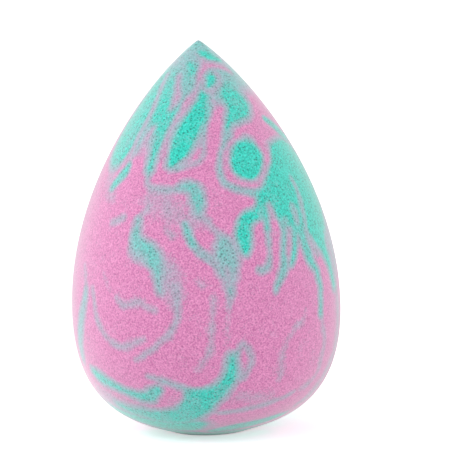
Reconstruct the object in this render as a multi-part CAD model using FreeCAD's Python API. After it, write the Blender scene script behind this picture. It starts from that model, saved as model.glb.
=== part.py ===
"""Drop-shaped makeup sponge, moulded from two foams that set against each other.

The pink foam is the body. Each turquoise streak is a pour of the second foam: a plug that lies
flush with the sponge's surface and fills its own pocket in the pink body.
Millimetres, +Z up, the front towards -Y, and the origin at the middle of the foot.
"""

import FreeCAD, Part
import math
import os

Vector = FreeCAD.Vector
UP = Vector(0, 0, 1)

# Drop, from the foot to the tip
DROP_HEIGHT = 60.0
BELLY_DIAMETER = 41.2
BELLY_HEIGHT = 19.0
FOOT_DIAMETER = 12.0
TIP_RADIUS = 0.4

# Slopes of the outline in degrees: the flank against the axis at the tip, the heel against the table
TIP_HALF_ANGLE = 54.0
HEEL_ANGLE = 20.0

# Fullness of the outline: how far each curve keeps its end slope, as a share of what it spans
HEEL_FOOT_FULLNESS = 0.34
HEEL_BELLY_FULLNESS = 0.84
FLANK_BELLY_FULLNESS = 0.475
FLANK_TIP_FULLNESS = 0.21

# Turquoise streaks: their depth at the belly, and their width where the swell is 1
STREAK_DEPTH = 3.0
STREAK_WIDTH = 2.0

# Where the corners of a streak's rounded end lie on its half circle
END_TURNS = [math.radians(turn) for turn in (45, 90, 135)]

# Each streak's stations: azimuth in degrees from the front, positive to the right as it is seen,
# level in percent of the drop's height, and swell, its width there over STREAK_WIDTH.
# A streak gives way to the ones above it in the list.
STREAKS = {
    "round_spot": [(28.3, 70.6, 2.45), (29.3, 72.1, 2.45)],
    "lens_streak": [
        (2.5, 86.6, 0.6), (0.5, 85, 1.1), (-3, 82.7, 1.5), (-8.5, 80, 1.75), (-11.7, 77.5, 1.9),
        (-14.2, 75, 1.75), (-16.6, 73, 1.25), (-18.3, 71.2, 0.7),
    ],
    "tip_droplet": [(10, 89.3, 0.4), (14, 90, 0.5), (18, 90.7, 0.6), (21.5, 91.2, 0.5)],
    "tip_wedge": [(8, 97.3, 0.35), (18, 96.8, 0.5), (32, 96.3, 0.6), (46, 95.7, 0.5), (60, 95, 0.35)],
    "shoulder_streak": [
        (-70, 91, 1.1), (-68, 88, 1.9), (-67, 85, 2.5), (-66, 80, 3.1), (-65.5, 76, 3.2),
        (-66, 73, 2.4),
    ],
    "left_streak": [
        (-43, 89.5, 0.7), (-40.5, 87.3, 1.1), (-37.5, 85, 1.45), (-33, 82.5, 2.2), (-31, 80, 1.75),
        (-31, 77.5, 1.15), (-31.5, 75, 0.9), (-32, 72.5, 0.7), (-32.5, 70, 0.5),
    ],
    "left_dash": [
        (-49.5, 70.3, 0.4), (-51, 68.8, 0.55), (-53.3, 67.3, 0.55), (-56, 65.9, 0.5),
        (-57.5, 64.8, 0.3),
    ],
    "halo_streak": [
        (33, 88, 1.1), (36.5, 86.3, 2.0), (38.5, 84.3, 2.15), (31, 82.3, 1.35), (24, 81, 0.8),
        (20.5, 79.5, 0.6), (18, 78, 0.5),
    ],
    "ring_strand": [
        (18, 78, 0.5), (15.3, 76, 0.45), (12.7, 74.3, 0.42), (11.3, 72, 0.4), (10.3, 70, 0.42),
        (10.8, 68, 0.45), (12.3, 66.6, 0.48), (16, 65.5, 0.48), (20.5, 64.7, 0.5), (25, 64.1, 0.55),
        (29, 63.5, 0.7),
    ],
    "rim_sliver": [(63, 80.3, 0.45), (69, 78.6, 0.55), (75, 76.8, 0.55), (81, 75, 0.45)],
    "flank_patch": [
        (54.5, 73.1, 1.2), (60, 72.2, 2.0), (66, 70, 3.6), (67.5, 66.5, 5.1), (66.5, 62.5, 5.8),
        (66, 58.5, 5.0), (65.5, 54, 3.0), (66, 50.5, 2.0), (67.5, 47, 1.1), (70, 43.5, 0.8),
        (72, 38, 0.6),
    ],
    "corner_streak": [
        (53, 69.4, 1.3), (48.5, 67.2, 1.7), (43, 65, 1.6), (38.5, 63.7, 1.3), (34, 63.2, 0.8),
    ],
    "root_streak": [(41, 63, 1.8), (42, 60.5, 1.7), (43, 58, 1.4), (43.8, 56, 1.1)],
    "inner_strand": [
        (41.5, 56, 0.8), (40.3, 53.3, 0.6), (38.5, 51, 0.48), (37.4, 48.8, 0.5), (37, 46.5, 0.6),
        (36.2, 44.6, 0.65), (34, 42.6, 0.55), (31.7, 40.8, 0.42), (30.8, 39.5, 0.3),
    ],
    "tooth_strand": [
        (47, 54.5, 0.7), (45, 51, 0.65), (44, 49, 0.6), (42.5, 47.3, 0.45), (40.7, 45.6, 0.35),
    ],
    "middle_strand": [
        (50.5, 54, 0.8), (51.5, 50.5, 0.95), (52.7, 47.5, 0.9), (54, 45.2, 0.75), (56.5, 43, 0.55),
        (57.2, 41, 0.5), (58, 38.5, 0.45), (57.2, 35, 0.4), (56.7, 32, 0.35),
    ],
    "hook_streak": [
        (31, 61.5, 0.55), (29.5, 59.7, 0.75), (26.5, 58.6, 0.85), (23, 58.1, 0.95), (20, 56.8, 1.05),
        (18.6, 55, 1.05), (18.4, 53, 1.03), (18.4, 51.2, 0.9), (18.2, 49.8, 0.6),
    ],
    "curl_strand": [
        (30.8, 58.5, 0.7), (31.2, 56.3, 0.5), (30.8, 54, 0.38), (30.2, 51.5, 0.33),
        (30.2, 49.3, 0.33), (29.6, 47.5, 0.4), (28.3, 46, 0.45), (25.5, 45, 0.45), (23.5, 45.3, 0.35),
    ],
    "comma_streak": [
        (-11, 66, 0.55), (-8, 66, 0.85), (-5, 65.4, 1.0), (-3.3, 64, 1.05), (-2.6, 62.4, 1.0),
        (-2.4, 61, 0.8), (-2.5, 59.8, 0.5),
    ],
    "swirl_streak": [
        (-33.5, 57.5, 0.4), (-33.3, 55.8, 0.6), (-32.8, 53.8, 0.85), (-31, 52.4, 1.0),
        (-27.5, 51.3, 1.0), (-24.3, 50.2, 1.15), (-22.3, 48.6, 1.05), (-21.3, 46.5, 0.75),
        (-21, 44.5, 0.55), (-20.6, 42.7, 0.4), (-19.7, 41, 0.35),
    ],
    "dagger_streak": [
        (8.5, 52.5, 0.6), (9.5, 50.5, 1.6), (9.8, 48.3, 1.75), (9.6, 46.3, 1.5), (10, 44.3, 1.0),
        (10.2, 42.5, 0.65), (10.4, 40.7, 0.42),
    ],
    "thorn_streak": [
        (-9, 57, 0.4), (-7.7, 55.3, 0.55), (-6.2, 53.4, 0.58), (-4.6, 52, 0.55), (-2.2, 50.6, 0.5),
        (0, 49.4, 0.45), (2.5, 48.4, 0.45), (5, 47.4, 0.45),
    ],
    "edge_strand": [
        (-62.5, 39, 0.5), (-63.5, 36.5, 0.7), (-65.5, 33.5, 0.9), (-68, 30, 1.0), (-70, 26.5, 1.0),
        (-71.5, 23, 0.9), (-72, 20.5, 0.5),
    ],
    "base_arm": [
        (-63, 18.3, 0.6), (-58.5, 17.2, 1.05), (-54, 16.4, 0.95), (-49, 15.6, 0.7),
        (-43.5, 14.6, 0.65), (-38, 13.8, 0.7), (-33, 13.3, 0.85), (-29, 13.5, 1.05),
        (-26.3, 14.5, 1.05), (-23.8, 15.6, 0.7),
    ],
    "base_sweep": [
        (-54, 9.8, 0.5), (-46, 8.6, 0.9), (-37, 8, 1.3), (-28, 7.6, 1.6), (-19, 7.8, 1.8),
        (-12, 8.8, 2.0), (-6, 11.2, 2.3), (-1, 13, 1.8), (4, 14.8, 1.35), (7.5, 17, 1.2),
        (9.7, 19.2, 1.1), (10.3, 21.5, 0.9), (10.2, 23.8, 0.6),
    ],
    "foot_crescent": [
        (5, 2.6, 0.6), (12, 3.4, 0.8), (20, 3.8, 0.95), (28, 4.2, 0.95), (36, 4.7, 0.85),
        (44, 5.3, 0.7), (52, 6, 0.4),
    ],
    "right_shoulder_streak": [
        (112, 86, 0.8), (109, 82.5, 1.5), (107, 78.5, 1.9), (109, 74.5, 1.6), (112, 71, 0.7),
    ],
    "right_swirl": [
        (104, 60, 0.5), (103, 56.5, 1.0), (106, 53.3, 1.3), (112, 51.5, 1.3), (116, 48.5, 1.0),
        (117.5, 44, 0.6),
    ],
    "right_base_sweep": [
        (98, 13.5, 0.6), (108, 11.3, 1.1), (120, 10, 1.5), (133, 10.6, 1.6), (143, 13.6, 1.3),
        (150, 17.8, 1.0), (153, 22.5, 0.6),
    ],
    "back_lens": [
        (166, 88, 0.6), (162, 84.5, 1.2), (158, 80.5, 1.7), (155, 76.5, 1.7), (151, 72.5, 0.8),
    ],
    "back_spot": [(139, 63.2, 2.2), (139, 64.3, 2.2)],
    "back_hook": [
        (176, 66, 0.5), (171, 63.6, 1.0), (165, 61.5, 1.3), (162, 58, 1.3), (163, 54.2, 1.0),
        (165, 51, 0.5),
    ],
    "back_dagger": [(138, 47, 0.9), (139.5, 43.5, 1.5), (140, 39, 1.2), (139, 34, 0.7), (138, 29, 0.35)],
    "back_streak": [
        (-166, 87, 0.7), (-163, 83, 1.5), (-159, 79, 2.0), (-158, 74.5, 1.6), (-160, 70, 0.8),
    ],
    "back_patch": [
        (-172, 60.5, 1.6), (-168, 57, 2.8), (-165, 53, 3.0), (-166, 49, 2.0), (-169, 45, 0.8),
    ],
    "back_strand": [(-176, 38, 0.5), (-172, 33.5, 0.9), (-170, 28.5, 1.0), (-172, 23.5, 0.7)],
    "back_base_sweep": [
        (172, 8.5, 0.6), (184, 7.6, 1.2), (197, 7.8, 1.7), (209, 10, 1.8), (217, 14, 1.4),
        (221, 19, 1.0), (223, 24, 0.5),
    ],
    "left_back_streak": [
        (-120, 88, 0.6), (-116, 84.5, 1.3), (-113, 80, 1.8), (-114, 75.5, 1.4), (-117, 71, 0.6),
    ],
    "left_back_comma": [(-128, 66, 0.6), (-123, 65, 1.2), (-119, 62.5, 1.3), (-118.5, 59.5, 0.8)],
    "left_back_swirl": [
        (-96, 58, 0.4), (-99, 55, 1.0), (-104, 52.6, 1.4), (-110, 51.2, 1.4), (-114, 48, 0.9),
        (-115, 43.5, 0.5),
    ],
    "left_back_strand": [(-128, 45, 0.5), (-127, 40, 1.0), (-129, 34.5, 1.0), (-132, 29, 0.6)],
    "left_base_arm": [
        (-88, 14.5, 0.5), (-97, 12.5, 1.0), (-107, 12, 1.3), (-117, 13.6, 1.1), (-124, 17, 0.7),
    ],
}


def profile_curves():
    """Heel and flank of the half outline, foot to tip, as Bezier curves in the XZ plane."""
    foot, belly = FOOT_DIAMETER / 2, BELLY_DIAMETER / 2
    rise, slope = math.radians(HEEL_ANGLE), math.radians(TIP_HALF_ANGLE)
    foot_rim = Vector(foot, 0, 0)
    widest = Vector(belly, 0, BELLY_HEIGHT)
    shoulder = Vector(TIP_RADIUS * math.cos(slope), 0, DROP_HEIGHT - TIP_RADIUS * (1 - math.sin(slope)))
    flank_height = DROP_HEIGHT - BELLY_HEIGHT
    heel = Part.BezierCurve()
    heel.setPoles([
        foot_rim,
        foot_rim + Vector(math.cos(rise), 0, math.sin(rise)) * (HEEL_FOOT_FULLNESS * (belly - foot)),
        widest - UP * (HEEL_BELLY_FULLNESS * BELLY_HEIGHT),
        widest,
    ])
    flank = Part.BezierCurve()
    flank.setPoles([
        widest,
        widest + UP * (FLANK_BELLY_FULLNESS * flank_height),
        shoulder + Vector(math.sin(slope), 0, -math.cos(slope)) * (FLANK_TIP_FULLNESS * flank_height),
        shoulder,
    ])
    return heel, flank


HEEL, FLANK = profile_curves()


def drop_solid():
    """The whole sponge: its half outline, closed by the tip, the axis and the foot, turned about Z."""
    tip = Vector(0, 0, DROP_HEIGHT)
    shoulder = FLANK.EndPoint
    half_way = math.radians(90 + TIP_HALF_ANGLE) / 2
    nose = tip - UP * TIP_RADIUS + Vector(math.cos(half_way), 0, math.sin(half_way)) * TIP_RADIUS
    outline = Part.Wire([
        Part.makeLine(Vector(), HEEL.StartPoint),
        HEEL.toShape(),
        FLANK.toShape(),
        Part.Arc(shoulder, nose, tip).toShape(),
        Part.makeLine(tip, Vector()),
    ])
    return Part.makeSolid(Part.Face(outline).revolve(Vector(), UP, 360))


def surface_at(azimuth, level):
    """Point on the drop's surface and the outward normal there."""
    height = level / 100 * DROP_HEIGHT
    curve = HEEL if height < BELLY_HEIGHT else FLANK
    ring = Part.LineSegment(Vector(0, 0, height), Vector(BELLY_DIAMETER, 0, height))
    hit = curve.intersectCC(ring)[0]
    rim = Vector(hit.X, 0, height)
    along = curve.tangent(curve.parameter(rim))[0]
    turn = FreeCAD.Rotation(UP, azimuth - 90)
    return turn.multVec(rim), turn.multVec(Vector(along.z, 0, -along.x))


def rounded_end(point, forward, across):
    """Corners of a streak's end, on a half circle from the side that across points to, round to the other."""
    return [point + across * math.cos(turn) + forward * math.sin(turn) for turn in END_TURNS]


def streak_prism(stations):
    """Prism of a streak's outline, standing square to the drop's surface at the streak's middle."""
    places = [surface_at(azimuth, level) for azimuth, level, _ in stations]
    middle = sum((point for point, _ in places), Vector()) / len(places)
    outward = sum((normal for _, normal in places), Vector()).normalize()
    heights = [(point - middle).dot(outward) for point, _ in places]
    spine = [point - outward * height for (point, _), height in zip(places, heights)]
    half_widths = [swell * STREAK_WIDTH / 2 for _, _, swell in stations]
    ahead = spine[1:] + spine[-1:]
    behind = spine[:1] + spine[:-1]
    along = [(b - a).normalize() for a, b in zip(behind, ahead)]
    across = [outward.cross(t) * w for t, w in zip(along, half_widths)]
    left = [p + s for p, s in zip(spine, across)]
    right = [p - s for p, s in zip(spine, across)]
    start = rounded_end(spine[0], along[0] * -half_widths[0], across[0] * -1)
    end = rounded_end(spine[-1], along[-1] * half_widths[-1], across[-1])
    face = Part.Face(Part.makePolygon(start + left + end + right[::-1] + start[:1]))
    face.translate(outward * (min(heights) - STREAK_DEPTH))
    return face.extrude(outward * (max(heights) - min(heights) + 2 * STREAK_DEPTH))


def poured_streaks(drop):
    """Each streak's plug: the layer of the drop that is STREAK_DEPTH deep, within the streak's prism."""
    core = drop.copy()
    core.scale(1 - 2 * STREAK_DEPTH / BELLY_DIAMETER, Vector(0, 0, BELLY_HEIGHT))
    layer = drop.cut(core)
    plugs = {}
    for name, stations in STREAKS.items():
        plug = layer.common(streak_prism(stations))
        for earlier in plugs.values():
            if plug.BoundBox.intersect(earlier.BoundBox):
                plug = plug.cut(earlier)
        plugs[name] = plug
    return plugs


def main():
    os.makedirs("parts", exist_ok=True)
    drop = drop_solid()
    plugs = poured_streaks(drop)
    nodes = {"pink_foam": drop.cut(list(plugs.values())), **plugs}
    for name, shape in nodes.items():
        node = Part.makeCompound(shape.Solids)
        node.exportStep(f"parts/{name}.step")
        print(f"{name}: {len(shape.Solids)} solid, {node.Volume:.1f} mm3")
    filled = sum(shape.Volume for shape in nodes.values())
    print(f"all nodes {filled:.1f} mm3 of the drop's {drop.Volume:.1f} mm3")


main()
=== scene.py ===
"""Marbled make-up sponge: a drop of pink foam with turquoise foam streaks set flush in it."""

import math

import bpy
import numpy as np
from mathutils import Matrix, Vector


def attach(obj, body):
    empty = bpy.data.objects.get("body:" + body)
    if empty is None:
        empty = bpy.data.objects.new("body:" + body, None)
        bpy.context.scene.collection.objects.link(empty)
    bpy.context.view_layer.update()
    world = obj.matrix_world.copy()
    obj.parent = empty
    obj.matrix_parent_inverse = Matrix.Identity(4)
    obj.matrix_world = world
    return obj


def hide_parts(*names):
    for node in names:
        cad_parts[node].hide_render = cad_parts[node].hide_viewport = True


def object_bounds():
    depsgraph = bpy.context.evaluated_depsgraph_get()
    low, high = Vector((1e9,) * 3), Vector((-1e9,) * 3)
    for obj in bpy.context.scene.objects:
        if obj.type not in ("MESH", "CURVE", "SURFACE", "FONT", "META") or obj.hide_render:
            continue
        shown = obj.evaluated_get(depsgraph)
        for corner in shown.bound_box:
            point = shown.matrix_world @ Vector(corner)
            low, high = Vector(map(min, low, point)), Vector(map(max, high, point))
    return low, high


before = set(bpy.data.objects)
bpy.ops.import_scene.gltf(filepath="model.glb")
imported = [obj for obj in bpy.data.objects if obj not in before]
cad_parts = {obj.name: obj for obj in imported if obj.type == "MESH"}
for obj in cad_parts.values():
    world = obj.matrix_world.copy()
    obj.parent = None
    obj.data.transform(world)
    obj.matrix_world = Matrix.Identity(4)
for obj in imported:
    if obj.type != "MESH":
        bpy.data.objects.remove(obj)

CAD_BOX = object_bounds()
MM = 0.001

# Drop, in metres: height and belly from the frame, the rest as the source has them
DROP_HEIGHT = CAD_BOX[1][2] - CAD_BOX[0][2]
BELLY_RADIUS = (CAD_BOX[1][0] - CAD_BOX[0][0]) / 2
BELLY_HEIGHT = 19 * MM
FOOT_RADIUS = 6 * MM
TIP_RADIUS = 0.4 * MM
TIP_HALF_ANGLE = math.radians(54)
HEEL_ANGLE = math.radians(20)
HEEL_FOOT_FULLNESS = 0.34
HEEL_BELLY_FULLNESS = 0.84
FLANK_BELLY_FULLNESS = 0.475
FLANK_TIP_FULLNESS = 0.21
STREAK_DEPTH = 3.0 * MM
# Near the axis a streak is at most this share of the radius deep
AXIS_DEPTH = 0.9

# Grid of the drop's surface, about 0.3 mm from point to point at the belly
COLUMNS = 420
ROWS = 260
# Points on the heel, the flank and the tip from which the even rows are taken
HEEL_STEPS = 400
FLANK_STEPS = 800
TIP_STEPS = 20

# Marbling: the width over which one foam's colour passes into the other's at streaks, veins and clouds
BLEND = 1.7 * MM
VEIN_BLEND = 1.15 * MM
CLOUD_BLEND = 2.5 * MM
# A streak's blend is at most this many times its greatest half width
NARROW_BLEND = 1.3
# The part of its blend by which a streak's colour is moved out past its wall
SPREAD = 0.15
# Three waves that cross make the edges uneven: their height and length, and for each of them the way
# it runs, how many times as close it is, and where it starts
WAVE_HEIGHT = 0.10 * MM
WAVE_LENGTH = 2.3 * MM
WAVE_DIRECTIONS = [(0.8, 0.5, 0.3), (-0.4, 0.7, 0.6), (0.3, -0.6, 0.75)]
WAVE_RATES = (1.0, 1.37, 0.73)
WAVE_STARTS = (0.4, 2.1, 4.4)

# A point nearer than this to a streak's edge counts as this far inside it, so that no sliver is cut
SNAP = 0.025 * MM
# Faces that meet at more than this are shaded with an edge
RIM_ANGLE = math.radians(50)
# The owner of a triangle that is in no streak, and the attribute that holds the turquoise share
BODY = -1
SHARE = "turquoise"

# Foam: a deep and a pale colour of each, between which it is mottled
PINK_DEEP = (0.515, 0.132, 0.335, 1)
PINK_PALE = (0.83, 0.343, 0.595, 1)
TURQUOISE_DEEP = (0.0, 0.41, 0.315, 1)
TURQUOISE_PALE = (0.055, 0.79, 0.67, 1)
# The colour that the two foams smear into, and how far their mixture goes towards it
LAVENDER = (0.36, 0.39, 0.53, 1)
SMEAR = 0.24
# Painted shade in the open cells: how much darker they are than the foam around them
PINK_PORE_SHADE = 0.2
TURQUOISE_PORE_SHADE = 0.55
# An open cell's painted shade is darkest from its middle to the core and fades out at the rim, in shares of
# a cell
PORE_CORE = 0.12
PORE_RIM = 0.40
# How strongly the open cells dent the surface in its shading, and how deep
DENT_STRENGTH = 0.5
DENT_DEPTH = 0.06 * MM
# How many grains, drifts, mottles and open cells there are to the metre
GRAIN_SCALE = 3800
DRIFT_SCALE = 450
MOTTLE_SCALE = 4000
CELL_SCALE = 2000
# The spans, from lowest to highest, over which the grains and the drifts push the share
GRAIN_PUSH = 0.4
DRIFT_PUSH = 0.35
# The pushed shares at which the foam is all pink and all turquoise
ALL_PINK = 0.04
ALL_TURQUOISE = 0.96
# The values of the mottling at which a foam has its deep and its pale colour
MOTTLE_DEEP = 0.25
MOTTLE_PALE = 0.75

WHITE = (1, 1, 1, 1)
# Room: how strongly it lights the object, while it is seen as white
ROOM_LIGHT = 0.64
# Floor: its size and colour, its glow on the object, and how much more of it is seen
FLOOR_SIZE = 6.0
PAPER = (0.9, 0.9, 0.9, 1)
FLOOR_GLOW = 0.03
FLOOR_LIFT = 0.5
# Lamps: name, place, size in metres, power in watts
LAMPS = [
    ("key", (-0.48, -0.32, 0.55), 0.5, 2.4),
    ("fill", (0.55, -0.30, 0.10), 0.5, 1.5),
    ("left rim", (-0.55, 0.15, 0.15), 0.5, 1.35),
    ("right rim", (0.55, 0.20, 0.15), 0.5, 0.5),
]
# Camera: distance from the middle of the drop, width of the view there, and tilt
CAMERA_DISTANCE = 0.6
CAMERA_FIELD = 68.85 * MM
CAMERA_ELEVATION = math.radians(8)
CAMERA_ROLL = math.radians(1.69)
# Sensor in millimetres, and shift of the frame in picture widths
SENSOR_WIDTH = 36
SHIFT_RIGHT = 0.0464
SHIFT_UP = 0.0231

# Stations of every stroke: azimuth in degrees from the front, positive to the right as it is seen,
# level in percent of the drop's height, and half width in millimetres.
# The streaks are the turquoise pieces, each in its own pocket of the pink foam. The number before
# the stations is the turquoise foam's share of the colour, from 0 for pink to 1.
# Clouds, veins and lines are colour only, and are repeated half a turn round for the back.
STREAKS = {
    "round_spot": (1.0, [(28.3, 70.6, 2.45), (29.3, 72.1, 2.45)]),
    "lens_streak": (0.96, [
        (2.5, 86.6, 0.6), (0.5, 85, 1.1), (-3, 82.7, 1.5), (-8.5, 80, 1.75), (-11.7, 77.5, 1.9),
        (-14.2, 75, 1.75), (-16.6, 73, 1.25), (-18.3, 71.2, 0.7),
    ]),
    "tip_droplet": (0.95, [(10, 89.3, 0.4), (14, 90, 0.5), (18, 90.7, 0.6), (21.5, 91.2, 0.5)]),
    "tip_wedge": (0.95, [
        (8, 97.3, 0.35), (18, 96.8, 0.5), (32, 96.3, 0.6), (46, 95.7, 0.5), (60, 95, 0.35),
    ]),
    "shoulder_streak": (0.88, [
        (-70, 91, 1.1), (-68, 88, 1.9), (-67, 85, 2.5), (-66, 80, 3.1), (-65.5, 76, 3.2),
        (-66, 73, 2.4),
    ]),
    "left_streak": (0.88, [
        (-43, 89.5, 0.7), (-40.5, 87.3, 1.1), (-37.5, 85, 1.45), (-33, 82.5, 2.2), (-31, 80, 1.75),
        (-31, 77.5, 1.15), (-31.5, 75, 0.9), (-32, 72.5, 0.7), (-32.5, 70, 0.5),
    ]),
    "left_dash": (0.85, [
        (-49.5, 70.3, 0.4), (-51, 68.8, 0.55), (-53.3, 67.3, 0.55), (-56, 65.9, 0.5),
        (-57.5, 64.8, 0.3),
    ]),
    "halo_streak": (0.92, [
        (33, 88, 1.1), (36.5, 86.3, 2.0), (38.5, 84.3, 2.15), (31, 82.3, 1.35), (24, 81, 0.8),
        (20.5, 79.5, 0.6), (18, 78, 0.5),
    ]),
    "ring_strand": (0.62, [
        (18, 78, 0.5), (15.3, 76, 0.45), (12.7, 74.3, 0.42), (11.3, 72, 0.4), (10.3, 70, 0.42),
        (10.8, 68, 0.45), (12.3, 66.6, 0.48), (16, 65.5, 0.48), (20.5, 64.7, 0.5), (25, 64.1, 0.55),
        (29, 63.5, 0.7),
    ]),
    "rim_sliver": (0.9, [(63, 80.3, 0.45), (69, 78.6, 0.55), (75, 76.8, 0.55), (81, 75, 0.45)]),
    "flank_patch": (1.0, [
        (54.5, 73.1, 1.2), (60, 72.2, 2.0), (66, 70, 3.6), (67.5, 66.5, 5.1), (66.5, 62.5, 5.8),
        (66, 58.5, 5.0), (65.5, 54, 3.0), (66, 50.5, 2.0), (67.5, 47, 1.1), (70, 43.5, 0.8),
        (72, 38, 0.6),
    ]),
    "corner_streak": (1.0, [
        (53, 69.4, 1.3), (48.5, 67.2, 1.7), (43, 65, 1.6), (38.5, 63.7, 1.3), (34, 63.2, 0.8),
    ]),
    "root_streak": (0.96, [(41, 63, 1.8), (42, 60.5, 1.7), (43, 58, 1.4), (43.8, 56, 1.1)]),
    "inner_strand": (0.75, [
        (41.5, 56, 0.8), (40.3, 53.3, 0.6), (38.5, 51, 0.48), (37.4, 48.8, 0.5), (37, 46.5, 0.6),
        (36.2, 44.6, 0.65), (34, 42.6, 0.55), (31.7, 40.8, 0.42), (30.8, 39.5, 0.3),
    ]),
    "tooth_strand": (0.86, [
        (47, 54.5, 0.7), (45, 51, 0.65), (44, 49, 0.6), (42.5, 47.3, 0.45), (40.7, 45.6, 0.35),
    ]),
    "middle_strand": (0.86, [
        (50.5, 54, 0.8), (51.5, 50.5, 0.95), (52.7, 47.5, 0.9), (54, 45.2, 0.75), (56.5, 43, 0.55),
        (57.2, 41, 0.5), (58, 38.5, 0.45), (57.2, 35, 0.4), (56.7, 32, 0.35),
    ]),
    "hook_streak": (0.97, [
        (31, 61.5, 0.55), (29.5, 59.7, 0.75), (26.5, 58.6, 0.85), (23, 58.1, 0.95), (20, 56.8, 1.05),
        (18.6, 55, 1.05), (18.4, 53, 1.03), (18.4, 51.2, 0.9), (18.2, 49.8, 0.6),
    ]),
    "curl_strand": (0.58, [
        (30.8, 58.5, 0.7), (31.2, 56.3, 0.5), (30.8, 54, 0.38), (30.2, 51.5, 0.33), (30.2, 49.3, 0.33),
        (29.6, 47.5, 0.4), (28.3, 46, 0.45), (25.5, 45, 0.45), (23.5, 45.3, 0.35),
    ]),
    "comma_streak": (0.74, [
        (-11, 66, 0.55), (-8, 66, 0.85), (-5, 65.4, 1.0), (-3.3, 64, 1.05), (-2.6, 62.4, 1.0),
        (-2.4, 61, 0.8), (-2.5, 59.8, 0.5),
    ]),
    "swirl_streak": (0.75, [
        (-33.5, 57.5, 0.4), (-33.3, 55.8, 0.6), (-32.8, 53.8, 0.85), (-31, 52.4, 1.0),
        (-27.5, 51.3, 1.0), (-24.3, 50.2, 1.15), (-22.3, 48.6, 1.05), (-21.3, 46.5, 0.75),
        (-21, 44.5, 0.55), (-20.6, 42.7, 0.4), (-19.7, 41, 0.35),
    ]),
    "dagger_streak": (0.68, [
        (8.5, 52.5, 0.6), (9.5, 50.5, 1.6), (9.8, 48.3, 1.75), (9.6, 46.3, 1.5), (10, 44.3, 1.0),
        (10.2, 42.5, 0.65), (10.4, 40.7, 0.42),
    ]),
    "thorn_streak": (0.74, [
        (-9, 57, 0.4), (-7.7, 55.3, 0.55), (-6.2, 53.4, 0.58), (-4.6, 52, 0.55), (-2.2, 50.6, 0.5),
        (0, 49.4, 0.45), (2.5, 48.4, 0.45), (5, 47.4, 0.45),
    ]),
    "edge_strand": (0.65, [
        (-62.5, 39, 0.5), (-63.5, 36.5, 0.7), (-65.5, 33.5, 0.9), (-68, 30, 1.0), (-70, 26.5, 1.0),
        (-71.5, 23, 0.9), (-72, 20.5, 0.5),
    ]),
    "base_arm": (0.86, [
        (-63, 18.3, 0.6), (-58.5, 17.2, 1.05), (-54, 16.4, 0.95), (-49, 15.6, 0.7), (-43.5, 14.6, 0.65),
        (-38, 13.8, 0.7), (-33, 13.3, 0.85), (-29, 13.5, 1.05), (-26.3, 14.5, 1.05), (-23.8, 15.6, 0.7),
    ]),
    "base_sweep": (0.9, [
        (-54, 9.8, 0.5), (-46, 8.6, 0.9), (-37, 8, 1.3), (-28, 7.6, 1.6), (-19, 7.8, 1.8),
        (-12, 8.8, 2.0), (-6, 11.2, 2.3), (-1, 13, 1.8), (4, 14.8, 1.35), (7.5, 17, 1.2),
        (9.7, 19.2, 1.1), (10.3, 21.5, 0.9), (10.2, 23.8, 0.6),
    ]),
    "foot_crescent": (0.95, [
        (5, 2.6, 0.6), (12, 3.4, 0.8), (20, 3.8, 0.95), (28, 4.2, 0.95), (36, 4.7, 0.85),
        (44, 5.3, 0.7), (52, 6, 0.4),
    ]),
    "right_shoulder_streak": (0.9, [
        (112, 86, 0.8), (109, 82.5, 1.5), (107, 78.5, 1.9), (109, 74.5, 1.6), (112, 71, 0.7),
    ]),
    "right_swirl": (0.9, [
        (104, 60, 0.5), (103, 56.5, 1.0), (106, 53.3, 1.3), (112, 51.5, 1.3), (116, 48.5, 1.0),
        (117.5, 44, 0.6),
    ]),
    "right_base_sweep": (0.9, [
        (98, 13.5, 0.6), (108, 11.3, 1.1), (120, 10, 1.5), (133, 10.6, 1.6), (143, 13.6, 1.3),
        (150, 17.8, 1.0), (153, 22.5, 0.6),
    ]),
    "back_lens": (0.9, [
        (166, 88, 0.6), (162, 84.5, 1.2), (158, 80.5, 1.7), (155, 76.5, 1.7), (151, 72.5, 0.8),
    ]),
    "back_spot": (0.9, [(139, 63.2, 2.2), (139, 64.3, 2.2)]),
    "back_hook": (0.9, [
        (176, 66, 0.5), (171, 63.6, 1.0), (165, 61.5, 1.3), (162, 58, 1.3), (163, 54.2, 1.0),
        (165, 51, 0.5),
    ]),
    "back_dagger": (0.9, [
        (138, 47, 0.9), (139.5, 43.5, 1.5), (140, 39, 1.2), (139, 34, 0.7), (138, 29, 0.35),
    ]),
    "back_streak": (0.9, [
        (-166, 87, 0.7), (-163, 83, 1.5), (-159, 79, 2.0), (-158, 74.5, 1.6), (-160, 70, 0.8),
    ]),
    "back_patch": (0.9, [
        (-172, 60.5, 1.6), (-168, 57, 2.8), (-165, 53, 3.0), (-166, 49, 2.0), (-169, 45, 0.8),
    ]),
    "back_strand": (0.9, [(-176, 38, 0.5), (-172, 33.5, 0.9), (-170, 28.5, 1.0), (-172, 23.5, 0.7)]),
    "back_base_sweep": (0.9, [
        (172, 8.5, 0.6), (184, 7.6, 1.2), (197, 7.8, 1.7), (209, 10, 1.8), (217, 14, 1.4),
        (221, 19, 1.0), (223, 24, 0.5),
    ]),
    "left_back_streak": (0.9, [
        (-120, 88, 0.6), (-116, 84.5, 1.3), (-113, 80, 1.8), (-114, 75.5, 1.4), (-117, 71, 0.6),
    ]),
    "left_back_comma": (0.9, [(-128, 66, 0.6), (-123, 65, 1.2), (-119, 62.5, 1.3), (-118.5, 59.5, 0.8)]),
    "left_back_swirl": (0.9, [
        (-96, 58, 0.4), (-99, 55, 1.0), (-104, 52.6, 1.4), (-110, 51.2, 1.4), (-114, 48, 0.9),
        (-115, 43.5, 0.5),
    ]),
    "left_back_strand": (0.9, [(-128, 45, 0.5), (-127, 40, 1.0), (-129, 34.5, 1.0), (-132, 29, 0.6)]),
    "left_base_arm": (0.9, [
        (-88, 14.5, 0.5), (-97, 12.5, 1.0), (-107, 12, 1.3), (-117, 13.6, 1.1), (-124, 17, 0.7),
    ]),
}

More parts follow.
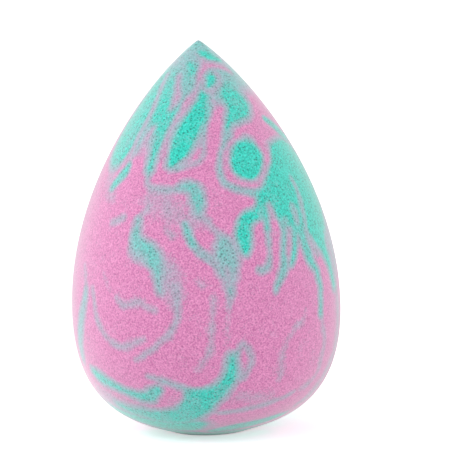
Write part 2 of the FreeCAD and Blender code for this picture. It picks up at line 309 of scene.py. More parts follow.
# Broad soft clouds under the marbling
CLOUDS = {
    "foot_wash": (0.34, [(-80, 9, 2.5), (-40, 6, 3.0), (-8, 5, 2.5)]),
    "right_field": (0.5, [(80, 72, 2.0), (80, 66, 3.0), (80, 58, 3.2), (80, 50, 2.6), (80, 43, 1.6)]),
    "crown": (0.71, [
        (-85, 92, 2.6), (-60, 91, 3.2), (-30, 91, 3.2), (0, 91.5, 2.8), (30, 91.5, 2.6),
        (60, 90.5, 2.6), (85, 91, 2.6),
    ]),
    "tip_cap": (0.76, [(-40, 97.5, 2.6), (40, 97.5, 2.6)]),
    "left_field": (0.6, [(-58, 88, 2.2), (-50, 83, 2.6), (-45, 79, 2.2), (-46, 75.5, 1.2)]),
    "dash_cloud": (0.25, [(-62, 70, 0.9), (-62, 67, 1.0), (-60, 63.5, 0.8), (-55, 62.5, 0.6)]),
    "swirl_cloud": (0.3, [(-18, 47.5, 1.3), (-16, 44.5, 1.7), (-14, 41.5, 1.5), (-13, 38.5, 1.1)]),
    "comma_cloud": (0.2, [(-28, 63, 1.6), (-20, 61.5, 2.2), (-12, 60, 2.2), (-6, 57.5, 1.5)]),
    "base_cloud": (0.3, [(-66, 13.5, 0.7), (-58, 12, 0.9), (-50, 11, 0.8), (-36, 10.8, 0.5)]),
    "low_cloud": (0.22, [(14, 13, 0.9), (22, 12.6, 1.0), (30, 12.8, 0.7)]),
    "right_cloud": (0.4, [
        (74, 46, 0.8), (75, 38, 0.9), (76, 30, 0.9), (76, 22, 1.0), (70, 15, 0.8), (64, 10, 0.8),
    ]),
}

# Veins where the foams smeared into each other, and smears that widen a streak's colour past its wall
VEINS = {
    "left_upper": (0.8, [(-46, 92, 0.4), (-44.5, 90.5, 0.6), (-43, 89, 0.7)]),
    "left_thread": (0.55, [
        (-42.5, 80.3, 0.45), (-44.5, 77.7, 0.6), (-46, 75.3, 0.5), (-48, 74, 0.36), (-50, 72, 0.3),
        (-51, 70.8, 0.35),
    ]),
    "left_tail": (0.5, [
        (-32.5, 70, 0.42), (-32.5, 68, 0.4), (-31.5, 66.5, 0.45), (-28, 65.6, 0.45), (-20, 65.1, 0.5),
        (-11, 65.6, 0.5),
    ]),
    "lens_side": (0.5, [
        (10, 88, 0.5), (8.5, 85.3, 0.5), (6.5, 83, 0.55), (4, 80.8, 0.5), (2.6, 78.5, 0.45),
        (2, 76, 0.4), (1.3, 74, 0.4), (-0.5, 72.3, 0.42), (-3.5, 71.5, 0.42), (-9, 70.8, 0.38),
        (-14, 70.2, 0.3),
    ]),
    "spot_cap": (0.5, [(29.5, 75.8, 0.6), (33, 76.4, 0.75), (37, 76, 0.6)]),
    "spot_smear": (0.9, [(28, 70.7, 2.6), (29.6, 72, 2.6)]),
    "hook_smear": (0.72, [
        (31, 61.5, 0.6), (29.5, 59.7, 0.8), (26.5, 58.6, 0.95), (23, 58.1, 0.95), (20, 56.8, 1.0),
        (18.5, 53, 0.95),
    ]),
    "flank_smear": (0.9, [
        (55, 73, 0.5), (51.5, 72, 0.7), (48, 70, 0.8), (45, 68.5, 0.8), (41.5, 66.5, 0.8),
        (38.5, 65.5, 0.8),
    ]),
    "root_smear": (0.92, [(40, 61, 1.0), (42, 58.5, 1.3), (43.5, 56.5, 1.4), (45, 54.5, 1.2)]),
    "lens_top": (0.9, [(3.5, 88, 0.45), (3, 87, 0.6)]),
    "finger_top": (0.5, [(17.5, 88, 0.7), (16.7, 86, 0.75), (16, 84.6, 0.5)]),
    "dash_smear": (0.85, [
        (-49.5, 70.3, 0.5), (-51, 68.8, 0.7), (-53.3, 67.3, 0.7), (-56, 65.9, 0.6), (-57.5, 64.8, 0.4),
    ]),
    "sliver_smear": (0.9, [(65, 79.8, 0.6), (71, 78.2, 0.8), (77, 76.5, 0.8), (83, 75, 0.6)]),
    "crescent_smear": (1.0, [
        (3, 2.6, 0.9), (12, 3.2, 1.3), (20, 3.7, 1.4), (28, 4.2, 1.3), (36, 4.7, 1.1), (45, 5.5, 0.8),
    ]),
    "corner_smear": (0.92, [(50, 66.5, 1.6), (46, 63.5, 1.8), (42.5, 61, 1.6), (38, 63, 1.2)]),
    "tip_blobs": (0.95, [(-22, 94.5, 0.45), (-15, 94, 0.6), (-12, 93, 0.45), (-12.5, 92.2, 0.3)]),
    "tip_mottle": (0.75, [
        (-22, 91.6, 0.55), (-18.5, 91, 0.6), (-15.5, 89.8, 0.5), (-15, 88.5, 0.35), (-18.5, 86.8, 0.35),
        (-20.5, 85.2, 0.35), (-22, 83.8, 0.3),
    ]),
    "tip_side": (0.68, [(-45, 97, 0.8), (-25, 96.5, 0.8)]),
    "tip_front": (0.45, [(-3, 96.8, 0.3), (2, 95.5, 0.3)]),
    "left_crumb": (0.45, [(-49.5, 56.4, 0.3), (-47, 57.2, 0.45), (-44.5, 57.7, 0.5), (-42, 58.3, 0.4)]),
    "swirl_feeler": (0.45, [(-33, 58, 0.35), (-31, 59.4, 0.35), (-28.5, 60.7, 0.45)]),
    "swirl_patch": (0.5, [
        (-34, 52.5, 0.9), (-33, 50.6, 1.2), (-30.5, 49.2, 1.1), (-27, 48.4, 1.0), (-24.5, 47.7, 0.8),
    ]),
    "small_tick": (0.33, [(-18.7, 61.3, 0.4), (-18.3, 60, 0.4)]),
    "small_curl": (0.35, [(-18.5, 56.2, 0.4), (-17, 55.3, 0.4), (-14.5, 54.3, 0.4)]),
    "crumb": (0.3, [(-3.5, 43.5, 0.4), (-1.5, 42, 0.45)]),
    "edge_feeler": (0.3, [(-66, 45, 0.4), (-64, 42.5, 0.5), (-62.5, 40, 0.5)]),
    "loop_vein": (0.4, [
        (-57, 40, 0.35), (-55, 37, 0.4), (-54, 34, 0.42), (-52, 31.5, 0.45), (-49, 29.5, 0.45),
        (-45.8, 27.6, 0.45), (-42, 26.5, 0.5), (-38, 26.3, 0.5), (-34, 27.1, 0.5), (-30.5, 28, 0.45),
        (-27.5, 28.7, 0.35),
    ]),
    "faint_thread": (0.2, [(-49, 44, 0.35), (-46.5, 41.5, 0.4), (-44.5, 40, 0.4)]),
    "inner_loop": (0.46, [
        (-12.3, 42, 0.5), (-12, 39, 0.45), (-12, 36.5, 0.45), (-12.4, 34, 0.5), (-14, 31.7, 0.45),
        (-16.5, 29.7, 0.4), (-19.5, 28.3, 0.4), (-22.5, 26.6, 0.4), (-26, 25.3, 0.4), (-29, 24.2, 0.4),
        (-32, 23.3, 0.3),
    ]),
    "grey_bar": (0.4, [
        (-41, 38.5, 0.4), (-37.5, 37, 0.5), (-34, 37.2, 0.45), (-29.3, 38, 0.55), (-26, 36.9, 0.5),
        (-22, 35.9, 0.4),
    ]),
    "base_thread": (0.6, [
        (-27, 19, 0.35), (-23, 18.4, 0.4), (-19, 17.7, 0.45), (-15, 17, 0.5), (-11.5, 16.2, 0.6),
        (-8.5, 15.2, 0.7),
    ]),
    "sweep_top": (0.84, [(-9.5, 14.3, 0.8), (-6, 14.3, 1.1), (-2, 14.7, 0.9), (2, 15.6, 0.8)]),
    "foot_field": (1.0, [
        (-68, 8, 0.9), (-56, 6.2, 1.4), (-42, 4.8, 1.8), (-28, 4.2, 1.9), (-15, 4.4, 1.9),
        (-6, 5.4, 1.0),
    ]),
    "foot_ring": (1.0, [
        (-78, 1.8, 2.4), (-45, 1.5, 2.4), (-20, 1.2, 2.2), (0, 0.9, 1.7), (20, 1.2, 1.9),
        (40, 1.4, 2.0), (65, 1.6, 1.8),
    ]),
    "dagger_wing": (0.45, [
        (-1.5, 59, 0.35), (1.5, 57.8, 0.4), (4, 56, 0.45), (6.3, 54.6, 0.5), (8.5, 53.2, 0.6),
        (10, 51.8, 0.7),
    ]),
    "stem": (0.42, [(10.4, 41, 0.4), (10, 38.5, 0.4), (9.5, 36.5, 0.35)]),
    "faint_stem": (0.2, [(9.3, 35.5, 0.35), (8.5, 30, 0.35), (8.3, 27, 0.4), (9, 25, 0.45)]),
    "stem_curl": (0.46, [
        (11.8, 24.3, 0.4), (13.2, 26, 0.45), (14.7, 27.2, 0.42), (16.7, 26.3, 0.45), (18, 25, 0.45),
        (18.8, 23.2, 0.45), (18.3, 21.5, 0.42), (17, 20, 0.4), (15.8, 18.5, 0.35),
    ]),
    "centre_vein": (0.34, [
        (3, 39, 0.4), (2.7, 36, 0.45), (2.3, 32, 0.45), (1.7, 28.5, 0.45), (0.6, 25.5, 0.5),
        (-1.3, 23.6, 0.45), (-3.3, 21.8, 0.4), (-5, 21, 0.3),
    ]),
    "low_vein": (0.5, [
        (5, 8.9, 0.3), (10, 9.1, 0.4), (16, 9.4, 0.48), (21, 9.7, 0.45), (27, 10.1, 0.45),
        (33, 10.7, 0.42), (39, 11.5, 0.38), (45, 12.6, 0.32),
    ]),
    "right_vein": (0.26, [
        (46, 34, 0.35), (45, 32, 0.5), (41, 30.2, 0.55), (38, 28.5, 0.55), (35.3, 26.2, 0.55),
        (33.7, 23.5, 0.55), (33.2, 21, 0.55), (34, 18.8, 0.5), (33.5, 17, 0.4),
    ]),
    "edge_fade": (0.28, [
        (56.7, 32, 0.5), (58, 29, 0.6), (60, 26, 0.6), (60, 22, 0.6), (59.5, 18, 0.6), (58, 15.7, 0.6),
        (54, 14, 0.6), (50, 13, 0.5),
    ]),
    "foot_smear": (0.4, [(61, 9.3, 0.5), (56, 8.3, 0.5)]),
}

# Lines that are laid on last: pink and lavender ones over the turquoise, and one turquoise root
LINES = {
    "pink_island": (0.05, [(-23, 12.4, 0.6), (-20, 12.8, 0.95), (-17.5, 13.3, 1.0), (-14.8, 13.9, 0.7)]),
    "shoulder_line": (0.2, [
        (-62, 91.8, 0.2), (-58, 90, 0.2), (-53, 87.5, 0.22), (-50, 85, 0.22), (-49, 82.5, 0.22),
        (-50, 80, 0.25), (-51, 77.5, 0.25), (-51.5, 75, 0.28), (-52.5, 72.5, 0.35), (-53.5, 70.7, 0.35),
    ]),
    "lens_line": (0.18, [
        (0.5, 92, 0.22), (-1.5, 90.5, 0.24), (-3.5, 89, 0.25), (-6, 87.5, 0.26), (-9.5, 86.3, 0.27),
        (-13.5, 85.1, 0.27), (-16.5, 83.5, 0.28), (-20, 82, 0.28), (-22.3, 80.7, 0.28),
        (-23.8, 79, 0.3), (-24.8, 77.3, 0.32), (-25.3, 75.5, 0.36), (-25, 73.5, 0.45),
    ]),
    "left_notch": (0.2, [
        (-33, 91.5, 0.35), (-30, 89.8, 0.35), (-27, 88.3, 0.38), (-26, 86.8, 0.42), (-27, 85.2, 0.38),
        (-28.5, 84.2, 0.25),
    ]),
    "tip_patch": (0.2, [(11, 95.4, 0.25), (11, 94.4, 0.4)]),
    "tip_arc": (0.08, [
        (0.5, 91.2, 0.25), (3, 92.2, 0.36), (7, 93, 0.55), (14, 93.8, 0.62), (22, 94.1, 0.6),
        (31, 94.1, 0.52), (40, 93.8, 0.42), (52, 93, 0.34), (62, 92, 0.28),
    ]),
    "pink_finger": (0.0, [
        (17.5, 84, 0.3), (15.7, 82.8, 0.55), (13.5, 81.5, 0.75), (11.2, 79.8, 0.95), (9.6, 77.5, 0.95),
        (8, 75, 0.8),
    ]),
    "droplet_ring": (0.36, [
        (4.5, 90.6, 0.25), (4.5, 89, 0.25), (12, 88, 0.28), (20, 88.7, 0.3), (28.5, 90.5, 0.3),
        (27, 92.3, 0.25),
    ]),
    "thin_line": (0.15, [(-39.5, 79.5, 0.25), (-41, 77.8, 0.28), (-43, 75.8, 0.3), (-42, 74, 0.4)]),
    "wedge_tip": (0.42, [(34.4, 60.3, 0.22), (34.5, 58.7, 0.32), (34.5, 57.3, 0.42)]),
    "strand_wedge": (0.1, [(34.5, 57, 0.25), (34.5, 55.5, 0.55), (34.5, 53.5, 0.7)]),
    "curl_root": (0.85, [(30.5, 60.5, 0.5), (31, 58.5, 0.7), (31.3, 56.5, 0.45), (31.3, 55, 0.3)]),
    "spot_ring": (0.14, [
        (15.5, 73.6, 0.3), (14.4, 71.2, 0.32), (14.8, 69.6, 0.34), (16, 67.9, 0.36), (20.8, 66.6, 0.34),
        (25, 66, 0.32), (28.8, 65.9, 0.32), (32.5, 66.6, 0.3), (35.5, 67.8, 0.3), (38.5, 69, 0.32),
        (42.4, 70.8, 0.34), (45.2, 72.9, 0.36), (47.5, 74.7, 0.4),
    ]),
    "thorn_tail": (0.46, [
        (-2.8, 51, 0.35), (-1, 50, 0.45), (0.8, 49.1, 0.45), (3, 48.2, 0.45), (5, 47.4, 0.45),
    ]),
    "strand_gap": (0.2, [(43.5, 54, 0.25), (42.5, 52, 0.35), (41.5, 50, 0.3)]),
    "dagger_heart": (0.36, [(9.4, 46, 0.35), (9.8, 44.3, 0.4), (10.1, 42.5, 0.25)]),
    "flank_vein": (0.5, [
        (57.5, 66, 0.3), (58.5, 63.5, 0.4), (58.2, 61, 0.45), (57.3, 58.5, 0.45), (56.8, 56.5, 0.45),
        (55.5, 53, 0.4), (57.5, 49.5, 0.4), (59.5, 46.5, 0.4),
    ]),
    "inner_flank_vein": (0.5, [(49.8, 60, 0.25), (50.8, 57.5, 0.35), (50, 55.3, 0.3)]),
}


def bezier(poles, steps):
    """Cubic Bezier curve: the four poles weighted by the Bernstein polynomials of t from 0 to 1."""
    t = np.linspace(0, 1, steps)[:, None]
    weights = np.hstack([(1 - t) ** 3, 3 * t * (1 - t) ** 2, 3 * t**2 * (1 - t), t**3])
    return weights @ np.array(poles)


def half_outline(count):
    """(radius, height) of the drop from the foot's middle to the tip, at even steps of the length.

    A flat foot, a heel and a flank that are Bezier curves meeting upright at the belly, and a round tip.
    """
    flank_height = DROP_HEIGHT - BELLY_HEIGHT
    foot_pull = HEEL_FOOT_FULLNESS * (BELLY_RADIUS - FOOT_RADIUS)
    tip_pull = FLANK_TIP_FULLNESS * flank_height
    shoulder_r = TIP_RADIUS * math.cos(TIP_HALF_ANGLE)
    shoulder_z = DROP_HEIGHT - TIP_RADIUS * (1 - math.sin(TIP_HALF_ANGLE))
    heel = bezier([
        (FOOT_RADIUS, 0),
        (FOOT_RADIUS + foot_pull * math.cos(HEEL_ANGLE), foot_pull * math.sin(HEEL_ANGLE)),
        (BELLY_RADIUS, BELLY_HEIGHT * (1 - HEEL_BELLY_FULLNESS)),
        (BELLY_RADIUS, BELLY_HEIGHT),
    ], HEEL_STEPS)
    flank = bezier([
        (BELLY_RADIUS, BELLY_HEIGHT),
        (BELLY_RADIUS, BELLY_HEIGHT + FLANK_BELLY_FULLNESS * flank_height),
        (
            shoulder_r + tip_pull * math.sin(TIP_HALF_ANGLE),
            shoulder_z - tip_pull * math.cos(TIP_HALF_ANGLE),
        ),
        (shoulder_r, shoulder_z),
    ], FLANK_STEPS)
    turn = np.linspace(TIP_HALF_ANGLE, math.pi / 2, TIP_STEPS)
    tip = np.stack([np.cos(turn), np.sin(turn) - 1], 1) * TIP_RADIUS + (0, DROP_HEIGHT)
    fine = np.concatenate([[(0, 0)], heel, flank[1:], tip[1:]])
    length = np.concatenate([[0], np.cumsum(np.hypot(*np.diff(fine, axis=0).T))])
    even = np.linspace(0, length[-1], count)
    return np.stack([np.interp(even, length, fine[:, i]) for i in range(2)], 1)


OUTLINE = half_outline(ROWS)


def on_surface(azimuth, level):
    """Points of the drop's surface: the outline's radius at each level, turned about the axis."""
    height = np.asarray(level) / 100 * DROP_HEIGHT
    radius = np.interp(height, OUTLINE[1:, 1], OUTLINE[1:, 0])
    turn = np.radians(azimuth)
    return np.stack([radius * np.sin(turn), -radius * np.cos(turn), height], -1)


def drop_grid():
    """Points, outward normals and triangles of the drop.

    The half outline is turned about the axis, with one point at each pole. A normal is the outline's
    direction turned by a right angle.
    """
    ring = OUTLINE[1:-1]
    slope = np.gradient(OUTLINE, axis=0)[1:-1]
    slope /= np.linalg.norm(slope, axis=1)[:, None]
    turn = np.arange(COLUMNS) * 2 * math.pi / COLUMNS
    across = np.stack([np.sin(turn), -np.cos(turn)], 1)
    sides = np.concatenate([
        ring[:, None, :1] * across,
        np.broadcast_to(ring[:, None, 1:], (len(ring), COLUMNS, 1)),
    ], 2).reshape(-1, 3)
    faces_out = np.concatenate([
        slope[:, None, 1:] * across,
        np.broadcast_to(-slope[:, None, :1], (len(ring), COLUMNS, 1)),
    ], 2).reshape(-1, 3)
    points = np.concatenate([[(0, 0, 0)], sides, [(0, 0, DROP_HEIGHT)]])
    normals = np.concatenate([[(0, 0, -1)], faces_out, [(0, 0, 1)]])
    index = 1 + np.arange(len(ring) * COLUMNS).reshape(len(ring), COLUMNS)
    beside = np.roll(index, -1, axis=1)
    low, low_beside, high, high_beside = index[:-1], beside[:-1], index[1:], beside[1:]
    foot = np.stack([np.zeros(COLUMNS, int), beside[0], index[0]], 1)
    tip = np.stack([index[-1], beside[-1], np.full(COLUMNS, len(points) - 1)], 1)
    halves = (low, low_beside, high_beside), (low, high_beside, high)
    walls = [np.stack(corners, -1).reshape(-1, 3) for corners in halves]
    return points, normals, np.concatenate([foot, *walls, tip])


def smooth_path(stations, parts=5):
    """A stroke's stations with Catmull-Rom points between them, which pass through every station."""
    given = np.array(stations, float)
    before = np.concatenate([given[:1], given[:-2]])
    after = np.concatenate([given[2:], given[-1:]])
    start, end = given[:-1], given[1:]
    t = (np.arange(parts) / parts)[:, None, None]
    square = 2 * before - 5 * start + 4 * end - after
    cube = 3 * start - before - 3 * end + after
    path = start + t / 2 * (end - before + t * (square + t * cube))
    return np.concatenate([path.transpose(1, 0, 2).reshape(-1, 3), given[-1:]])


def waves(points):
    """The mean of three sine waves that cross, for the unevenness of an edge between the foams."""
    along = points @ np.array(WAVE_DIRECTIONS).T
    phase = along * (2 * math.pi / WAVE_LENGTH) * WAVE_RATES + WAVE_STARTS
    return np.sin(phase).sum(axis=1) / len(WAVE_DIRECTIONS)


def inside_of(stations, points):
    """How far each point lies inside a stroke.

    That is the half width less the distance to the stroke's path, at the segment where it is the most.
    """
    path = smooth_path(stations)
    places = on_surface(path[:, 0], path[:, 1])
    half_width = path[:, 2] * MM
    margin = half_width.max() + CLOUD_BLEND
    lowest, highest = places.min(axis=0) - margin, places.max(axis=0) + margin
    near = np.all((points > lowest) & (points < highest), axis=1)
    depth = np.full(len(points), -margin)
    close = points[near]
    best = np.full(len(close), -margin)
    segments = zip(places[:-1], places[1:], half_width[:-1], half_width[1:])
    for start, end, start_width, end_width in segments:
        run = end - start
        t = np.clip((close - start) @ run / (run @ run), 0, 1)
        distance = np.linalg.norm(close - start - t[:, None] * run, axis=1)
        best = np.maximum(best, start_width + t * (end_width - start_width) - distance)
    depth[near] = best
    return depth


def both_sides(strokes):
    """The strokes as they are given, and the same ones turned half round, for the back."""
    turned = [(value, np.array(stations) + (180, 0, 0)) for value, stations in strokes.values()]
    return list(strokes.values()) + turned


def painted(share, value, depth, blend=VEIN_BLEND):
    """The share after a stroke of that value is laid over it, with an edge as wide as the blend."""
    cover = np.clip(depth / blend + 0.5, 0, 1)
    return share + (value - share) * cover


def cut(rows, triangles, owner, column):
    """Cuts every triangle along the line where that column of its points passes through zero.

    A cut triangle has one corner alone on its side. It leaves a small triangle there, and a quadrangle
    in two halves. Returns the points with those on the line added, the triangles, their owners, and
    which of them lie above zero.
    """
    value = rows[:, column]
    value[np.abs(value) < SNAP] = SNAP
    above = value > 0
    count = above[triangles].sum(axis=1)
    whole = (count == 0) | (count == 3)
    mixed, mixed_owner = triangles[~whole], owner[~whole]
    lone_above = count[~whole] == 1
    first = (above[mixed] == lone_above[:, None]).argmax(axis=1)
    mixed = np.take_along_axis(mixed, (first[:, None] + np.arange(3)) % 3, axis=1)
    lone, second, third = mixed.T
    edges = np.concatenate([np.stack([lone, second], 1), np.stack([lone, third], 1)])
    edges = np.sort(edges, axis=1)
    edges, place = np.unique(edges, axis=0, return_inverse=True)
    start, end = rows[edges[:, 0]], rows[edges[:, 1]]
    t = start[:, column] / (start[:, column] - end[:, column])
    by_second, by_third = len(rows) + place.reshape(2, -1)
    rows = np.concatenate([rows, start + t[:, None] * (end - start)])
    cuts = (lone, by_second, by_third), (by_second, second, third), (by_second, third, by_third)
    parts = [np.stack(corners, 1) for corners in cuts]
    triangles = np.concatenate([triangles[whole], *parts])
    owner = np.concatenate([owner[whole], mixed_owner, mixed_owner, mixed_owner])
    is_above = np.concatenate([count[whole] == 3, lone_above, ~lone_above, ~lone_above])
    return rows, triangles, owner, is_above


def border(triangles):
    """The edges that only one of the triangles has, each running as it does in that triangle."""
    edges = np.concatenate([triangles[:, [0, 1]], triangles[:, [1, 2]], triangles[:, [2, 0]]])
    sides = np.sort(edges, axis=1)
    _, place, count = np.unique(sides, axis=0, return_inverse=True, return_counts=True)
    return edges[count[place.reshape(-1)] == 1]


def make_piece(name, node, points, share, triangles, material):
    """A closed mesh of the points that its triangles use, with the turquoise share on each point.

    It stands in place of a CAD node.
    """
    used, corners = np.unique(triangles, return_inverse=True)
    mesh = bpy.data.meshes.new(name)
    mesh.vertices.add(len(used))
    mesh.vertices.foreach_set("co", points[used].astype(np.float32).ravel())
    mesh.loops.add(corners.size)
    mesh.loops.foreach_set("vertex_index", corners.astype(np.int32).ravel())
    mesh.polygons.add(len(triangles))
    mesh.polygons.foreach_set("loop_start", np.arange(0, corners.size, 3, dtype=np.int32))
    mesh.polygons.foreach_set("use_smooth", np.ones(len(triangles), bool))
    mesh.update(calc_edges=True)
    mesh.set_sharp_from_angle(angle=RIM_ANGLE)
    layer = mesh.attributes.new(SHARE, "FLOAT", "POINT")
    layer.data.foreach_set("value", share[used].astype(np.float32))
    mesh.materials.append(material)
    piece = bpy.data.objects.new(name, mesh)
    bpy.context.collection.objects.link(piece)
    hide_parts(node)
    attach(piece, "root")


def build_sponge(material):
    """Paints the marbling over the drop, cuts the surface into streaks and body, and closes each piece.

    A piece's floor is its top moved in along the normals, and its walls join the borders of the two.
    """
    points, normals, triangles = drop_grid()
    uneven = WAVE_HEIGHT * waves(points)
    streaks = [inside_of(stations, points) + uneven for _, stations in STREAKS.values()]
    share = np.zeros(len(points))
    for value, stations in both_sides(CLOUDS):
        share = painted(share, value, inside_of(stations, points), CLOUD_BLEND)
    for value, stations in both_sides(VEINS):
        share = painted(share, value, inside_of(stations, points) + uneven)
    for (value, stations), depth in zip(STREAKS.values(), streaks):
        blend = min(BLEND, NARROW_BLEND * MM * max(half_width for _, _, half_width in stations))
        share = painted(share, value, depth + SPREAD * blend, blend)
    for value, stations in both_sides(LINES):
        share = painted(share, value, inside_of(stations, points) + uneven)

    rows = np.column_stack([points, normals, share, *streaks])
    first_streak = rows.shape[1] - len(streaks)
    owner = np.full(len(triangles), BODY)
    for number in range(len(STREAKS)):
        rows, triangles, owner, inside = cut(rows, triangles, owner, first_streak + number)
        owner[inside & (owner == BODY)] = number

    top, outward, share = rows[:, :3], rows[:, 3:6], rows[:, 6]
    depth = np.minimum(STREAK_DEPTH, AXIS_DEPTH * np.hypot(top[:, 0], top[:, 1]))
    both = np.concatenate([top, top - depth[:, None] * outward])
    share = np.concatenate([share, share])
    below = len(top)

    for number, node in enumerate(STREAKS):
        patch = triangles[owner == number]
        start, end = border(patch).T
        walls = [
            np.stack([end, start, start + below], 1),
            np.stack([end, start + below, end + below], 1),
        ]
        closed = np.concatenate([patch, patch[:, ::-1] + below, *walls])
        make_piece(node + "_inlay", node, both, share, closed, material)

    pockets = triangles[owner != BODY]
    start, end = border(pockets).T
    walls = [
        np.stack([start, end, start + below], 1),
        np.stack([end, end + below, start + below], 1),
    ]
    closed = np.concatenate([triangles[owner == BODY], pockets + below, *walls])
    make_piece("pink_foam_body", "pink_foam", both, share, closed, material)


def add_node(tree, kind, settings=None, **inputs):
    """A shader node with inputs by name, or by number as i0: a socket is linked, any other value is set."""
    made = tree.nodes.new(kind)
    for key, value in (settings or {}).items():
        setattr(made, key, value)
    for key, value in inputs.items():
        by_number = key[0] == "i" and key[1:].isdigit()
        place = made.inputs[int(key[1:]) if by_number else key.replace("_", " ")]
        if isinstance(value, bpy.types.NodeSocket):
            tree.links.new(value, place)
        else:
            place.default_value = value
    return made


def combine(tree, operation, first, second):
    """One step of arithmetic on two values or sockets."""
    return add_node(tree, "ShaderNodeMath", {"operation": operation}, i0=first, i1=second).outputs[0]


def noise(tree, place, scale, detail, roughness):
    """Soft noise between 0 and 1, with about that many lumps to the metre."""
    return add_node(
        tree, "ShaderNodeTexNoise", Vector=place, Scale=scale, Detail=detail, Roughness=roughness,
    ).outputs["Fac"]


def swing(tree, value, span):
    """A noise's distance from its middle value, times the span of its push."""
    return combine(tree, "MULTIPLY", combine(tree, "SUBTRACT", value, 0.5), span)


def ramp(tree, value, low, high, low_result=0.0, high_result=1.0, kind="LINEAR"):
    """The low result up to the low value, the high result from the high value on, and a ramp between."""
    return add_node(
        tree, "ShaderNodeMapRange", {"interpolation_type": kind},
        Value=value, From_Min=low, From_Max=high, To_Min=low_result, To_Max=high_result,
    ).outputs["Result"]


def mix(tree, amount, first, second, kind="MIX"):
    """The first colour where the amount is 0, passing into the second, or multiplied by it, at 1."""
    return add_node(
        tree, "ShaderNodeMix", {"data_type": "RGBA", "blend_type": kind}, i0=amount, i6=first, i7=second,
    ).outputs[2]


def foam_material():
    """Marbled open-cell foam: the share, pushed about by grains and drifts, mixes pink with turquoise.

    A mixture m leans to lavender by the smear times 4 m (1 - m), which is 1 where the foams are even.
    The open cells dent the surface, and their shade is painted into the colour as a darkening.
    """
    material = bpy.data.materials.new("marbled_foam")
    material.use_nodes = True
    tree = material.node_tree
    tree.nodes.clear()
    place = add_node(tree, "ShaderNodeTexCoord").outputs["Object"]
    share = add_node(tree, "ShaderNodeAttribute", {"attribute_name": SHARE}).outputs["Fac"]
    grain = noise(tree, place, GRAIN_SCALE, detail=2.0, roughness=0.6)
    drift = noise(tree, place, DRIFT_SCALE, detail=3.0, roughness=0.55)
    fine = noise(tree, place, MOTTLE_SCALE, detail=1.0, roughness=0.6)
    cells = add_node(
        tree, "ShaderNodeTexVoronoi", Vector=place, Scale=CELL_SCALE, Randomness=1.0,
    ).outputs["Distance"]

    push = combine(tree, "ADD", swing(tree, grain, GRAIN_PUSH), swing(tree, drift, DRIFT_PUSH))
    mixed = ramp(tree, combine(tree, "ADD", share, push), ALL_PINK, ALL_TURQUOISE)
    mottle = ramp(tree, fine, MOTTLE_DEEP, MOTTLE_PALE)
    pink = mix(tree, mottle, PINK_DEEP, PINK_PALE)
    turquoise = mix(tree, mottle, TURQUOISE_DEEP, TURQUOISE_PALE)
    base = mix(tree, mixed, pink, turquoise)
    between = combine(tree, "MULTIPLY", mixed, combine(tree, "SUBTRACT", 1.0, mixed))
    blended = mix(tree, combine(tree, "MULTIPLY", between, 4 * SMEAR), base, LAVENDER)

    # Painted shade: the open cells darken the colour, more in turquoise than in pink, and the same mask
    # dents the surface
    pore_shade_and_dent = ramp(tree, cells, PORE_CORE, PORE_RIM, 1.0, 0.0, "SMOOTHSTEP")
    more = combine(tree, "MULTIPLY", mixed, TURQUOISE_PORE_SHADE - PINK_PORE_SHADE)
    depth = combine(tree, "ADD", PINK_PORE_SHADE, more)
    wall = combine(tree, "SUBTRACT", 1.0, combine(tree, "MULTIPLY", pore_shade_and_dent, depth))
    colour = mix(tree, 1.0, blended, wall, "MULTIPLY")
    dent = add_node(tree, "ShaderNodeBump", Strength=DENT_STRENGTH, Distance=DENT_DEPTH, Height=wall)
    shader = add_node(
        tree, "ShaderNodeBsdfPrincipled", Base_Color=colour, Normal=dent.outputs["Normal"],
        Roughness=0.85, Specular_IOR_Level=0.1, Sheen_Weight=1.0, Sheen_Roughness=0.47,
    )
    add_node(tree, "ShaderNodeOutputMaterial", Surface=shader.outputs[0])
    return material


def seen_straight(tree):
    """1 for rays seen by the camera, also by a mirror or glass, and 0 for those that light the object."""
    path = add_node(tree, "ShaderNodeLightPath")
    seen = combine(tree, "MAXIMUM", path.outputs["Is Camera Ray"], path.outputs["Is Glossy Ray"])
    return combine(tree, "MAXIMUM", seen, path.outputs["Is Transmission Ray"])


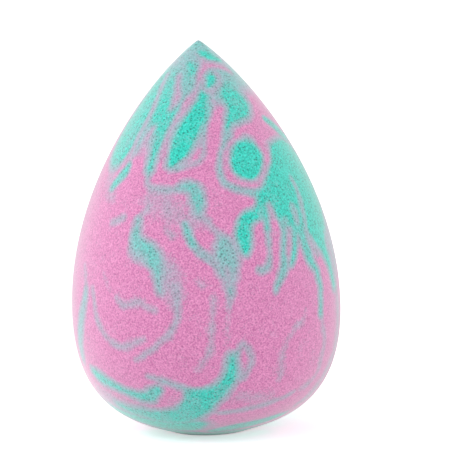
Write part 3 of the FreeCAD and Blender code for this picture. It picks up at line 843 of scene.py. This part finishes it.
def build_stage():
    """A white room, a white floor that keeps a faint shadow, and four soft lamps round the drop.

    The key is at the upper left, the fill at the right, and a rim light behind the drop on either side.
    """
    world = bpy.data.worlds.new("room")
    bpy.context.scene.world = world
    world.use_nodes = True
    tree = world.node_tree
    tree.nodes.clear()
    strength = ramp(tree, seen_straight(tree), 0.0, 1.0, ROOM_LIGHT, 1.0)
    light = add_node(tree, "ShaderNodeBackground", Color=WHITE, Strength=strength)
    add_node(tree, "ShaderNodeOutputWorld", Surface=light.outputs[0])

    paper = bpy.data.materials.new("white_paper")
    paper.use_nodes = True
    tree = paper.node_tree
    tree.nodes.clear()
    matte = add_node(tree, "ShaderNodeBsdfDiffuse", Color=PAPER)
    lift = combine(tree, "MULTIPLY", seen_straight(tree), FLOOR_LIFT)
    strength = combine(tree, "ADD", FLOOR_GLOW, lift)
    glow = add_node(tree, "ShaderNodeEmission", Color=WHITE, Strength=strength)
    both = add_node(tree, "ShaderNodeAddShader", i0=matte.outputs[0], i1=glow.outputs[0])
    add_node(tree, "ShaderNodeOutputMaterial", Surface=both.outputs[0])

    bpy.ops.mesh.primitive_plane_add(size=FLOOR_SIZE, location=(0, 0, CAD_BOX[0][2]))
    floor = bpy.context.object
    floor.name = "floor"
    floor.data.materials.append(paper)

    for name, place, size, power in LAMPS:
        lamp = bpy.data.lights.new(name, "AREA")
        lamp.size = size
        lamp.energy = power
        holder = bpy.data.objects.new(name, lamp)
        bpy.context.collection.objects.link(holder)
        holder.location = place
        aim = Vector((0, 0, DROP_HEIGHT / 2)) - Vector(place)
        holder.rotation_euler = aim.to_track_quat("-Z", "Y").to_euler()


def build_camera():
    """A long lens, a little above the middle of the drop and tilted a little, as in the photograph."""
    camera = bpy.data.objects.new("camera", bpy.data.cameras.new("camera"))
    bpy.context.collection.objects.link(camera)
    middle = Vector((0, 0, DROP_HEIGHT / 2))
    back = Vector((0, -math.cos(CAMERA_ELEVATION), math.sin(CAMERA_ELEVATION)))
    pitch = Matrix.Rotation(math.pi / 2 - CAMERA_ELEVATION, 4, "X")
    roll = Matrix.Rotation(-CAMERA_ROLL, 4, "Z")
    camera.matrix_world = Matrix.Translation(middle + CAMERA_DISTANCE * back) @ pitch @ roll
    camera.data.sensor_width = SENSOR_WIDTH
    camera.data.lens = SENSOR_WIDTH * CAMERA_DISTANCE / CAMERA_FIELD
    camera.data.shift_x = SHIFT_RIGHT
    camera.data.shift_y = SHIFT_UP
    bpy.context.scene.camera = camera


build_sponge(foam_material())
build_stage()
build_camera()
bpy.context.scene.view_settings.view_transform = "Standard"
